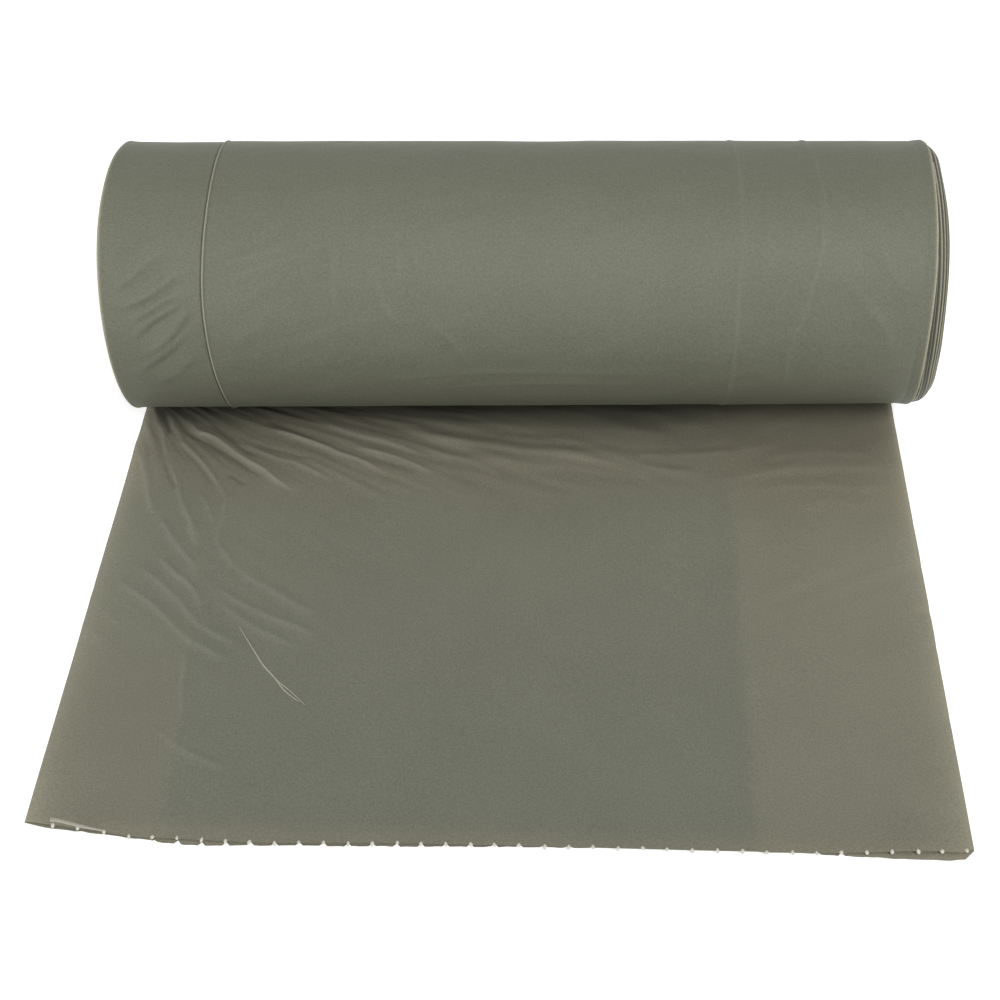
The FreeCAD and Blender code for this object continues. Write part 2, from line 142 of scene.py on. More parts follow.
def crease(u, v, points, height, width, lean=0.0, fade=0.3):
    """Height that one fold adds at (u, v): a ridge along a line, sharp at its crest.

    lean steepens the side on the right of the line's direction, as seen in the photograph,
    and eases the other one. A negative height makes a groove.
    """
    line = curve_points(points, 5)
    reach = 5 * width * (1 + abs(lean))
    mask = (
        (u > line[:, 0].min() - reach) & (u < line[:, 0].max() + reach)
        & (v > line[:, 1].min() - reach) & (v < line[:, 1].max() + reach)
    )
    result = np.zeros(u.shape)
    if not mask.any():
        return result
    pu, pv = u[mask], v[mask]
    best = np.full(pu.shape, 1e9)
    along = np.zeros(pu.shape)
    side = np.zeros(pu.shape)
    lengths = np.linalg.norm(np.diff(line, axis=0), axis=1)
    start = np.concatenate([[0], np.cumsum(lengths)])
    for k, length in enumerate(lengths):
        direction = (line[k + 1] - line[k]) / length
        du, dv = pu - line[k, 0], pv - line[k, 1]
        t = np.clip(du * direction[0] + dv * direction[1], 0, length)
        ox, oy = du - t * direction[0], dv - t * direction[1]
        distance = np.hypot(ox, oy)
        closer = distance < best
        best = np.where(closer, distance, best)
        along = np.where(closer, (start[k] + t) / start[-1], along)
        side = np.where(closer, np.sign(direction[0] * dv - direction[1] * du), side)
    spread = width * (1 - lean * side)
    ends = smoothstep(0, fade, along) * smoothstep(0, fade, 1 - along) if fade else 1.0
    rounded = 0.72 * np.exp(-((best / spread) ** 2)) + 0.28 * np.exp(-((best / (2.4 * spread)) ** 2))
    result[mask] = height * rounded * ends
    return result


def wrinkles(across, along, cell, stretch, seed):
    """Fine wrinkles: noise drawn out along the folds."""
    return value_noise(across, along / stretch, cell, seed)


def mesh_piece(name, points, faces, material, attributes=None):
    """Makes one piece of the object from points in millimetres, riding on the roll's body."""
    mesh = bpy.data.meshes.new(name)
    mesh.from_pydata((np.asarray(points, float) * MM).tolist(), [], faces)
    for label, values in (attributes or {}).items():
        layer = mesh.attributes.new(label, "FLOAT", "POINT")
        layer.data.foreach_set("value", np.asarray(values, np.float32))
    mesh.update()
    mesh.shade_smooth()
    piece = bpy.data.objects.new(name, mesh)
    bpy.context.scene.collection.objects.link(piece)
    piece.data.materials.append(material)
    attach(piece, "root")
    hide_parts("bag_roll")
    return piece


def grid_faces(rows, columns, close_rows=False, close_columns=False, first=0):
    """Quads of a grid stored row by row, joined round where it closes."""
    faces = []
    for i in range(rows if close_rows else rows - 1):
        for j in range(columns if close_columns else columns - 1):
            a = i * columns + j
            b = i * columns + (j + 1) % columns
            c = ((i + 1) % rows) * columns + (j + 1) % columns
            d = ((i + 1) % rows) * columns + j
            faces.append((first + a, first + b, first + c, first + d))
    return faces


# Materials

# Near white of stretched film, also used for the painted highlights on edges and crests
WHITENED_AND_HIGHLIGHT = "#D2D1C6"      # film that was stretched until it turned white
# Sizes of the patterns in the film
STREAK = 54.0             # slow change in how thick the film was blown
PIGMENT = 0.8             # unevenly mixed pigment; really about 0.1 mm, drawn coarser so that it shows
GRIT = 22.0               # from one speck of recycled matter to the next, in every direction
RIPPLE = 6.4              # faint ripples of film that isn't drawn tight


def film_material(name, deep, lifted, pale):
    """Recycled low-density polyethylene, blown as thin film: matt and slightly see-through.

    Plies that lie close on each other look deep and greenish. Where air has lifted them they
    turn brownish. Light that a single fold or a thinner place lets through is painted in as a
    pale, warm colour, and painted highlights on edges and crests are mixed towards the near
    white of stretched film. Painted shade darkens the gaps between turns, the grooves and the
    film under the roll. The mesh says where each of these is.
    """
    material = bpy.data.materials.new(name)
    material.use_nodes = True
    tree = material.node_tree
    tree.nodes.clear()
    place = add_node(tree, "ShaderNodeTexCoord")
    # The first attribute paints light through the film and painted highlights, the second is the brownish
    # tone of lifted film, the third is stretch whitening with painted highlights, and the last is painted
    # shade in gaps, grooves and under the roll
    painted_glow = add_node(tree, "ShaderNodeAttribute", {"attribute_name": "painted_glow"})
    loose = add_node(tree, "ShaderNodeAttribute", {"attribute_name": "lifted"})
    whitening_and_highlight_input = add_node(tree, "ShaderNodeAttribute", {"attribute_name": "whitening_and_highlight"})
    painted_shade_input = add_node(tree, "ShaderNodeAttribute", {"attribute_name": "painted_shade"})
    streaks = add_node(
        tree, "ShaderNodeTexNoise", {"Scale": 1 / (STREAK * MM), "Detail": 3.0, "Roughness": 0.6},
        {"Vector": place.outputs["Object"]},
    )
    pigment = add_node(
        tree, "ShaderNodeTexNoise", {"Scale": 1 / (PIGMENT * MM), "Detail": 2.0, "Roughness": 0.7},
        {"Vector": place.outputs["Object"]},
    )
    body = add_node(
        tree, "ShaderNodeMix", {"data_type": "RGBA", 6: linear(deep), 7: linear(lifted)},
        {0: loose.outputs["Fac"]},
    )
    shade = add_node(
        tree, "ShaderNodeMix", {"data_type": "RGBA", 7: linear(pale)},
        {0: painted_glow.outputs["Fac"], 6: body.outputs[2]},
    )
    thickness = add_node(
        tree, "ShaderNodeMapRange", {"From Min": 0.3, "From Max": 0.7, "To Min": 0.96, "To Max": 1.04},
        {"Value": streaks.outputs["Fac"]},
    )
    mixing = add_node(
        tree, "ShaderNodeMapRange", {"From Min": 0.3, "From Max": 0.7, "To Min": 0.82, "To Max": 1.18},
        {"Value": pigment.outputs["Fac"]},
    )
    evenness = add_node(
        tree, "ShaderNodeMath", {"operation": "MULTIPLY"},
        {0: thickness.outputs["Result"], 1: mixing.outputs["Result"]},
    )
    grit = add_node(
        tree, "ShaderNodeTexVoronoi", {"Scale": 1 / (GRIT * MM)}, {"Vector": place.outputs["Object"]}
    )
    speck = add_node(
        tree, "ShaderNodeMapRange", {"From Min": 0.012, "From Max": 0.027, "To Min": 0.7, "To Max": 1.0},
        {"Value": grit.outputs["Distance"]},
    )
    # Painted shade: darkens the colour to as little as 0.16 of itself
    depth = add_node(
        tree, "ShaderNodeMapRange", {"To Min": 1.0, "To Max": 0.16}, {"Value": painted_shade_input.outputs["Fac"]}
    )
    shaded = add_node(
        tree, "ShaderNodeMath", {"operation": "MULTIPLY"},
        {0: evenness.outputs[0], 1: depth.outputs["Result"]},
    )
    level = add_node(
        tree, "ShaderNodeMath", {"operation": "MULTIPLY"},
        {0: shaded.outputs[0], 1: speck.outputs["Result"]},
    )
    tinted = add_node(
        tree, "ShaderNodeVectorMath", {"operation": "SCALE"},
        {0: shade.outputs[2], "Scale": level.outputs[0]},
    )
    whitened_and_highlit = add_node(
        tree, "ShaderNodeMix", {"data_type": "RGBA", 7: linear(WHITENED_AND_HIGHLIGHT)},
        {0: whitening_and_highlight_input.outputs["Fac"], 6: tinted.outputs[0]},
    )
    ripples = add_node(
        tree, "ShaderNodeTexNoise", {"Scale": 1 / (RIPPLE * MM), "Detail": 3.0, "Roughness": 0.55},
        {"Vector": place.outputs["Object"]},
    )
    bump = add_node(
        tree, "ShaderNodeBump", {"Strength": 0.15, "Distance": 0.12 * MM},
        {"Height": ripples.outputs["Fac"]},
    )
    shader = add_node(
        tree, "ShaderNodeBsdfPrincipled",
        {"Roughness": 0.56, "IOR": 1.51, "Specular IOR Level": 0.3},
        {"Base Color": whitened_and_highlit.outputs[2], "Normal": bump.outputs["Normal"]},
    )
    add_node(tree, "ShaderNodeOutputMaterial", {}, {"Surface": shader.outputs[0]})
    return material


def white_surround(material_name, strength_seen):
    """Matt white floor that shows white to the camera and still takes the roll's shadow."""
    material = bpy.data.materials.new(material_name)
    material.use_nodes = True
    tree = material.node_tree
    tree.nodes.clear()
    path = add_node(tree, "ShaderNodeLightPath")
    seen = add_node(
        tree, "ShaderNodeMath", {"operation": "MAXIMUM"},
        {0: path.outputs["Is Camera Ray"], 1: path.outputs["Is Glossy Ray"]},
    )
    shown = add_node(
        tree, "ShaderNodeMath", {"operation": "MAXIMUM"},
        {0: seen.outputs[0], 1: path.outputs["Is Transmission Ray"]},
    )
    glow = add_node(
        tree, "ShaderNodeMath", {"operation": "MULTIPLY", 1: strength_seen},
        {0: shown.outputs[0]},
    )
    paint = add_node(tree, "ShaderNodeBsdfDiffuse", {"Color": linear("#E8E8E8")})
    light = add_node(tree, "ShaderNodeEmission", {"Color": (1, 1, 1, 1)}, {"Strength": glow.outputs[0]})
    both = add_node(tree, "ShaderNodeAddShader", {}, {0: paint.outputs[0], 1: light.outputs[0]})
    add_node(tree, "ShaderNodeOutputMaterial", {}, {"Surface": both.outputs[0]})
    return material


film = film_material("wound_recycled_polyethylene", "#686A5B", "#6A6656", "#B5AF98")
# The loose bag uses the same film painted a little lighter: a painted lift in light level
film_painted_lighter = film_material("loose_polyethylene_painted_lighter", "#6F7163", "#726F60", "#A9A48F")


# The wound roll

def outer_turn(theta, x, inset, step=STEP):
    """Point of the outer turn in (y, z) at an angle from the top towards the front.

    The back half is an arc about the roll's axis and the front half one about a point half
    a step higher, so that the turn comes down inside the web that runs out in front.
    """
    full = ROLL_RADIUS * (1 + TAPER * (1 - 2 * x / FILM_WIDTH)) - 0.2
    radius = full - inset
    height = full - FLAT_SAG - 0.5 * x / FILM_WIDTH
    front = np.sin(theta) > 0
    reach = np.where(front, radius - step / 2, radius)
    centre = np.where(front, height + step / 2, height)
    y = -reach * np.sin(theta)
    z = centre + reach * np.cos(theta)
    lifting = np.where(front, step, 0) * smoothstep(0, 0.35, np.sin(theta))
    return y, np.maximum(z, np.maximum(inset, 0) + lifting)


def eye_turn(theta):
    """The flattened innermost turn."""
    return -EYE_LENGTH / 2 * np.sin(theta), ROLL_RADIUS - FLAT_SAG + EYE_HEIGHT / 2 * np.cos(theta)


def wound_point(theta, x, inset, share):
    """Point between the outer turn (share 0) and the eye (share 1).

    The outer turn's step dies out within the first turns, because the inner ones lie close.
    """
    y0, z0 = outer_turn(theta, x, inset, STEP * np.exp(-share * ROLL_RADIUS / 4))
    y1, z1 = eye_turn(theta)
    return y0 * (1 - share) + y1 * share, z0 * (1 - share) + z1 * share


def slide(share, theta):
    """How far a turn has slid to the right, at a share of the way in from the outer turn."""
    depth = share * (ROLL_RADIUS - EYE_HEIGHT)
    far = END_RISE * (0.92 + 0.16 * np.cos(theta - math.radians(115)))
    return far * (1 - np.exp(-depth / 2.5))


def wander(theta, points):
    """Drift along the roll at an angle, from given (degrees, drift) points."""
    line = curve_points([(-180, 0)] + points + [(180, 0)], 8)
    turned = np.degrees((np.asarray(theta) + math.pi) % (2 * math.pi) - math.pi)
    return np.interp(turned, line[:, 0], line[:, 1])


# The outer turn isn't wound quite square: drift of its two rims and of the outer flap's edge
LEFT_RIM = [(-70, 0.8), (-40, 2.2), (-20, 2.3), (-5, 1.3), (15, 0.4), (35, -0.3), (60, -0.3), (90, 0.0),
            (130, 0.1)]
RIGHT_RIM = [(-90, 0.3), (-45, 2.4), (-17, 2.9), (0, 1.3), (11, 0.6), (20, 0.2), (38, -0.4), (53, -0.9),
             (69, -1.4), (80, -1.5), (97, -1.0), (111, 0.2), (130, 1.2), (150, 0.8)]
FLAP_EDGE = [(-90, 0.6), (-45, 1.4), (-20, 1.7), (0, 1.7), (15, 1.2), (30, 0.2), (50, -1.1), (65, -1.6),
             (85, -1.2), (110, 0.1), (130, 0.4)]


def end_of_film(side):
    """Drift of the rim and its place along the film, at the right end (1) or the left one (-1)."""
    return (RIGHT_RIM, FILM_WIDTH) if side > 0 else (LEFT_RIM, 0.0)


# Folds on the wound roll: points as (distance from the left end, degrees from the top to the
# front), then height, width and lean
FOLDS_LEFT_OF_FLAP = [
    ([(3, 52), (12, 47), (22, 40), (30, 33)], 0.45, 3.2, 0.3),
    ([(3, 59), (13, 54), (20, 49), (28, 43), (34, 39)], 0.7, 2.0, 0.35),
    ([(4, 66.5), (13, 64), (23, 60), (30, 56), (36, 52), (45, 50.5)], 0.85, 1.7, 0.4),
    ([(10, 71.5), (20, 68), (28, 63), (36, 60), (44, 57.5)], 0.75, 1.4, 0.4),
    ([(8, 81), (12, 79), (23, 71), (32, 66), (40, 61), (47, 58)], 0.75, 1.5, 0.4),
    ([(12, 90), (25, 82), (33, 76), (39, 69), (45, 63)], 0.8, 1.6, 0.4),
    ([(8, 99), (24, 88), (33, 81), (41, 73)], 0.65, 1.8, 0.35),
    ([(18, 104), (31, 96), (42, 85)], 0.5, 2.0, 0.3),
    ([(5.5, 60.7), (13, 56.3), (20.4, 51.1), (27.6, 44.9), (33.7, 41.4)], -0.66, 1.9, 0),
    ([(5.5, 68.9), (13, 66.2), (23.6, 62.6), (30, 58.2), (36.3, 54.7), (44.5, 53.4)], -0.66, 1.7, 0),
    ([(12.4, 73.1), (19.7, 69.9), (28.3, 65.3), (35.7, 62.7), (42, 60)], -0.61, 1.5, 0),
    ([(13.9, 80.8), (23.3, 72.8), (32.1, 68.1), (39.7, 63.6)], -0.61, 1.5, 0),
    ([(25.4, 85.2), (32.8, 77.8), (38.9, 71), (43.6, 65.4)], -0.66, 1.7, 0),
    ([(12.3, 97.3), (24.5, 89.8), (32.9, 83.1), (39.1, 76.9)], -0.55, 1.9, 0),
]
FOLDS_RIGHT_OF_FLAP = [
    ([(51, 51), (57, 48), (67, 46), (78, 43), (92, 41)], 0.6, 2.2, 0.35),
    ([(51, 60), (60, 55), (70, 51), (84, 47), (100, 44)], 0.5, 2.2, 0.35),
    ([(53, 72), (64, 64), (80, 57), (98, 52)], 0.35, 2.6, 0.3),
    ([(54, 86), (70, 76), (90, 68)], 0.25, 3.0, 0.25),
    ([(71, 38), (70, 46), (71, 57), (72, 66)], 0.3, 1.5, 0.2),
    ([(128, 50), (129, 57), (131, 64), (136, 71), (142, 76)], 0.38, 1.1, 0.25),
    ([(149, 69), (155, 74), (161, 79), (167, 87), (173, 97)], 0.38, 1.1, 0.25),
    ([(109, 36), (108, 45), (107.5, 55), (109, 66), (106, 72)], 0.32, 1.2, 0.25),
    ([(104, 74), (97, 78), (93, 84)], 0.2, 1.4, 0.2),
    ([(118, 35), (117, 43)], 0.15, 1.1, 0.2),
    ([(137, 38), (138, 50), (137, 60)], 0.28, 1.2, 0.2),
    ([(145, 37), (146, 45), (149, 52)], 0.22, 1.2, 0.2),
    ([(112, 7), (140, 2), (172, -4), (204, -8)], 0.3, 5.0, 0.3),
    ([(124, 17), (150, 10), (184, 4)], 0.2, 4.0, 0.3),
    ([(148, 25), (176, 18), (206, 12)], 0.16, 4.0, 0.3),
    ([(120, 104), (150, 99), (186, 97), (230, 98), (276, 100)], 0.25, 1.8, 0.3),
    ([(140, 112), (176, 106), (220, 105), (262, 108)], 0.22, 1.6, 0.3),
    ([(345, 34), (358, 46), (368, 58), (374, 70)], 0.4, 2.6, 0.3),
    ([(338, 50), (350, 64), (360, 80)], 0.45, 2.4, 0.3),
    ([(349, 60), (362, 74), (370, 90)], 0.35, 2.2, 0.3),
    ([(341, 22), (356, 30), (370, 40)], 0.25, 3.0, 0.3),
    ([(300, 30), (306, 52), (305, 76)], 0.2, 3.0, 0.2),
]
EDGES_UNDER_OUTER_PLY = [
    ([(296, -150), (296, -18), (295.7, 12), (295.2, 31), (294.6, 50), (294.3, 66), (294.2, 84),
      (294.3, 106), (294.5, 150)], 0.36, 0.75, 0.35),
    ([(331, -60), (331.2, -17), (332.5, 0), (333.7, 12), (333.5, 28), (332, 43), (328, 58),
      (325, 70), (321, 81), (320, 94), (321, 111)], 0.42, 0.75, -0.3),
]


def fold_field(u, v, folds, fade, crest=1.0):
    """Sum of a list of folds at (u, v); a crest below 1 gives only their narrow crests."""
    total = np.zeros(np.shape(u))
    for points, height, width, lean in folds:
        if crest == 1 or width < WIDE_FOLD:
            total += crease(u, v, points, height, width * crest, lean, fade)
    return total


def in_arc(folds):
    """The same folds with their degrees round the roll turned to millimetres of arc."""
    return [([(a, b * DEGREE) for a, b in points], *shape) for points, *shape in folds]


def roll_folds(x, arc, crest=1.0):
    """Height of the sharp folds on the roll; arc is measured from the top to the front."""
    h = fold_field(x, arc, in_arc(FOLDS_LEFT_OF_FLAP + FOLDS_RIGHT_OF_FLAP), 0.35, crest)
    return h + fold_field(x, arc, in_arc(EDGES_UNDER_OUTER_PLY), 0.03, crest)


def roll_swell(x, arc):
    """Slow unevenness of the roll."""
    h = 0.2 * value_noise(x, arc, 34, 3) + 0.11 * value_noise(x, arc * 1.4, 12, 4)
    return h + 0.08 * wrinkles(arc + 0.35 * x, x, 5.5, 6, 5)


def roll_columns():
    """Stations along the roll: even, with narrow ones at the rims and across the flap's edge."""
    rim = [0.0, 0.15, 0.35, 0.6, 0.9, 1.3, 1.8, 2.6]
    bead = [-2.4, -1.7, -1.3, -1.05, -0.85, -0.68, -0.5, -0.34, -0.17, 0.0]
    bead += [-b for b in bead[-2::-1]]
    left = np.linspace(3.8, FLAP_ON_ROLL - 3.4, 28)
    right = np.linspace(FLAP_ON_ROLL + 3.4, FILM_WIDTH - 8.0, 205)
    last = [6.8, 5.9, 5.2, 4.6, 4.0, 3.3] + rim[::-1]
    return (
        rim + list(left) + [FLAP_ON_ROLL + b for b in bead] + list(right)
        + [FILM_WIDTH - r for r in last]
    )


def end_loops(theta, side):
    """Loops of points that close one end of the roll, from its rim to the eye."""
    rim, end = end_of_film(side)
    loops = []
    for share in (0.0, 0.012, 0.03, 0.06, 0.1, 0.2, 0.35, 0.6, 1.0):
        back = END_RECESS if share else 0.5
        place = slide(share, theta) + wander(theta, rim) * (1 - share) + end - side * back
        y, z = wound_point(theta, end, 1.0, share)
        loops.append(np.column_stack([place, y, z]))
    return loops


def make_roll():
    """The roll as one closed mesh: outer turn, and both ends set back behind the turns' edges."""
    around = 330
    theta = np.linspace(-math.pi, math.pi, around, endpoint=False)
    stations = roll_columns()
    rows, painted_glow, painted_shade, whitening_and_highlight = [], [], [], []
    for x in stations:
        near_flap = math.exp(-(((x - FLAP_ON_ROLL) / 18) ** 2))
        near_left = 1 - smoothstep(0, FLAP_ON_ROLL - 12, x)
        near_right = smoothstep(FILM_WIDTH - 60, FILM_WIDTH, x)
        place = (
            x + wander(theta, FLAP_EDGE) * near_flap
            + wander(theta, LEFT_RIM) * near_left + wander(theta, RIGHT_RIM) * near_right
        )
        off = place - FLAP_ON_ROLL - wander(theta, FLAP_EDGE)
        nearest_rim = min(x, FILM_WIDTH - x)
        inner = smoothstep(1, 7 if x > FLAP_ON_ROLL else 4, nearest_rim)
        folds = roll_folds(place, theta * ROLL_RADIUS) * inner
        relief = folds + roll_swell(place, theta * ROLL_RADIUS) * inner
        # The outer flap ends in a round bead with a crevice on each side, and each rim of the
        # film is rounded and flares a little, with a hollow before it
        bead = BEAD * np.sqrt(np.clip(1 - (off / BEAD) ** 2, 0, 1))
        crevice = 0.6 * np.exp(-(((off + 0.3 + BEAD) / 0.26) ** 2))
        crevice += 0.2 * np.exp(-(((off - 0.3 - BEAD) / 0.26) ** 2))
        ply = 0.30 * smoothstep(-0.5, 0.4, off)
        hollow = 0.22 * math.exp(-(((FILM_WIDTH - x - 5.2) / 0.9) ** 2))
        hollow += 0.18 * math.exp(-(((x - 1.6) / 0.5) ** 2))
        flare = 0.7 * math.exp(-nearest_rim / 2.5)
        rim_round = 0.6 * (1 - math.sqrt(max(0, 1 - (1 - min(nearest_rim, 0.6) / 0.6) ** 2)))
        inset = rim_round - flare - relief - bead + crevice - ply + hollow
        y, z = outer_turn(theta, x, inset)
        rows.append(np.column_stack([place, y, z]))
        # Painted highlight along the outer flap's bead, and a painted glow along each rim
        glow = 0.5 * np.exp(-((off / 0.42) ** 2)) + 0.9 * math.exp(-((nearest_rim / 0.9) ** 2))
        crests = roll_folds(place, theta * ROLL_RADIUS, 0.6) * inner
        painted_glow.append(np.clip(glow, 0, 1))
        # Crests of the folds: stretch whitening and a painted highlight; the bead gets a painted highlight
        # too
        roll_whitening_and_highlight = np.where(off < 60, 0.04, 0.1) * crests
        roll_whitening_and_highlight += 0.1 * np.exp(-((off / 0.42) ** 2))
        whitening_and_highlight.append(np.clip(roll_whitening_and_highlight, 0, 0.2))
        # Painted shade in the fold grooves and in the crevices beside the bead
        groove_painted_shade = np.where(off < 0, 0.28, 0.2) * -crests
        painted_shade.append(np.clip(0.6 * crevice * (np.abs(off) > 0.5) + groove_painted_shade, 0, 0.45))
    right = end_loops(theta, 1)
    left = end_loops(theta, -1)[::-1]
    loops = left + rows + right
    blank = np.zeros(around)
    points = place_roll(np.vstack(loops))
    faces = grid_faces(len(loops), around, close_rows=True, close_columns=True)
    faces = [f[::-1] for f in faces]
    # Painted shade over both closed ends of the roll
    deep = np.full(around, 0.9)
    return mesh_piece("wound_roll", points, faces, film, {
        "painted_glow": np.concatenate([blank] * len(left) + painted_glow + [blank] * len(right)),
        "whitening_and_highlight": np.concatenate([blank] * len(left) + whitening_and_highlight + [blank] * len(right)),
        "painted_shade": np.concatenate([deep] * len(left) + painted_shade + [deep] * len(right)),
    })


def place_roll(points):
    """Moves points from the film's own place to where the roll stands in the frame."""
    moved = np.array(points, float)
    moved[:, 0] += MIDDLE_X - FILM_WIDTH / 2
    moved[:, 1] += AXIS_Y
    return moved


# One bundle of turns across its pitch: distance inwards, how far its edge stands back, how pale
# it is (a painted highlight on the tips) and how dark (painted shade in the gaps). A gap with one
# loose turn comes before each bundle, whose single turns show as fine steps with pale tips.
BUNDLE = [
    (0.0, 4.2, 0.0, 1.0), (0.3, 4.2, 0.0, 1.0), (0.33, 0.6, 0.0, 0.7), (0.42, 0.25, 0.8, 0.0),
    (0.52, 0.6, 0.1, 0.6), (0.55, 4.2, 0.0, 1.0), (TURN_GAP, 4.2, 0.0, 1.0), (TURN_GAP, 0.9, 0.0, 0.9),
    (TURN_GAP + 0.05, 0.3, 0.1, 0.6), (1.1, 0.0, 1.0, 0.0), (1.35, 0.0, 0.8, 0.0), (1.5, 0.3, 0.1, 0.4),
    (1.58, 1.8, 0.0, 1.0), (2.15, 1.8, 0.0, 1.0), (2.25, 0.45, 0.0, 0.7), (2.42, 0.15, 1.0, 0.0),
    (2.62, 0.2, 0.7, 0.0), (2.78, 0.5, 0.1, 0.4), (2.85, 1.8, 0.0, 1.0), (3.5, 1.8, 0.0, 1.0),
    (3.62, 0.5, 0.0, 0.7), (3.8, 0.15, 1.0, 0.0), (4.0, 0.2, 0.6, 0.0), (4.12, 0.5, 0.1, 0.4),
    (4.2, 1.8, 0.0, 1.0), (4.6, 1.8, 0.0, 1.0), (4.7, 0.45, 0.0, 0.7), (4.9, 0.15, 0.9, 0.0),
    (5.1, 0.3, 0.4, 0.1), (5.25, 0.6, 0.1, 0.5), (TURN_PITCH - 0.02, 1.2, 0.0, 0.9),
]


def make_turns(name, side):
    """The edges of the turns at one end: bundles of film, wound in from the rim to the eye."""
    rim, end = end_of_film(side)
    turns = int((ROLL_RADIUS - EYE_HEIGHT) / TURN_PITCH)
    per_turn = 180
    count = (turns + LEAD_IN) * per_turn
    number = np.arange(count + 1) / per_turn - LEAD_IN
    phi = number * 2 * math.pi
    theta = math.pi + phi
    columns, painted_glow, painted_shade = [], [], []
    for k, (inwards, back, pale, dark) in enumerate(BUNDLE):
        sway = 0.22 * value_noise(number * 2.3 + 3, phi * 0 + k * 1.7, 1.0, 13)
        wound = number * TURN_PITCH + FIRST_GAP + inwards + sway * (inwards > TURN_GAP + 0.1)
        depth = 0.25 + np.where(wound > 0, wound, 0.02 * k * np.exp(np.minimum(wound, 0)))
        share = depth / (ROLL_RADIUS - EYE_HEIGHT / 2 + 2)
        y, z = wound_point(theta, end, 0.0, share)
        stagger = 0.5 * value_noise(number * 3.1 + k * 0.37, phi * 0 + k * 0.9, 1.0, 11 + k % 3)
        bend = np.sin(theta) * 2 + np.floor(number + LEAD_IN)
        stagger += 0.45 * value_noise(np.cos(theta) * 2 + 9, bend, 1.0, 12)
        drift = wander(theta, rim) * (1 - share)
        edge = slide(share, theta) + drift + stagger * smoothstep(-0.6, 1.2, number) + end
        x = edge - side * np.where(wound > 0, back, 1.5)
        columns.append(np.column_stack([x, y, z]))
        # Painted highlight on the pale tips of the turns, varied at random, and painted shade in the dark
        # gaps between them
        light = 0.68 + 0.2 * value_noise(number * 7, phi * 0 + k * 1.3, 1.0, 14)
        painted_glow.append(np.clip(pale * light, 0, 1))
        painted_shade.append(np.full(count + 1, dark))
    points = np.stack(columns, axis=1).reshape(-1, 3)
    faces = grid_faces(count + 1, len(BUNDLE))
    if side < 0:
        faces = [f[::-1] for f in faces]
    return mesh_piece(name, place_roll(points), faces, film, {
        "painted_glow": np.stack(painted_glow, axis=1).reshape(-1),
        "painted_shade": np.stack(painted_shade, axis=1).reshape(-1),
    })


# The loose bag

# The torn edge of the upper ply and the one of the plies under it, across the film
UPPER_EDGE = [
    (0, 283.0), (12, 284.6), (24, 286.4), (34, 287.2), (44, 288.6), (55, 289.3), (76, 289.8),
    (90, 290.3), (106, 290.1), (125, 289.6), (155, 288.6), (200, 288.1), (245, 288.0), (273, 287.9),
    (303, 287.6), (323, 287.2), (343, 286.3), (362, 285.7), (372, 285.2), (380, 285.2), (385, 283.0),
]
LOWER_EDGE = [
    (0, 283.6), (12, 285.9), (24, 286.9), (34, 287.9), (44, 289.1), (55, 290.2), (66, 291.2),
    (75, 291.3), (90, 290.9), (106, 290.4), (126, 289.9), (164, 288.9), (200, 287.7), (236, 287.0),
    (257, 286.7), (293, 286.4), (306, 286.6), (322, 287.0), (341, 287.8), (364, 288.1), (375, 288.3),
    (381, 287.4), (385, 283.4),
]


def torn_edge(u):
    """Distance from the roll's middle to the torn edge of the upper ply."""
    known = np.array(UPPER_EDGE)
    return np.interp(u, known[:, 0], known[:, 1])


def lower_edge(u):
    """Distance to the torn edge of the plies under it, with the notches that the bonds left."""
    known = np.array(LOWER_EDGE)
    shown = smoothstep(48, 64, u) * (1 - smoothstep(330, 345, u))
    ragged = 0.25 * value_noise(u, u * 0 + 3, 3.1, 51)
    return np.interp(u, known[:, 0], known[:, 1]) + ragged - notch(u, 1.6, 1.5) * shown


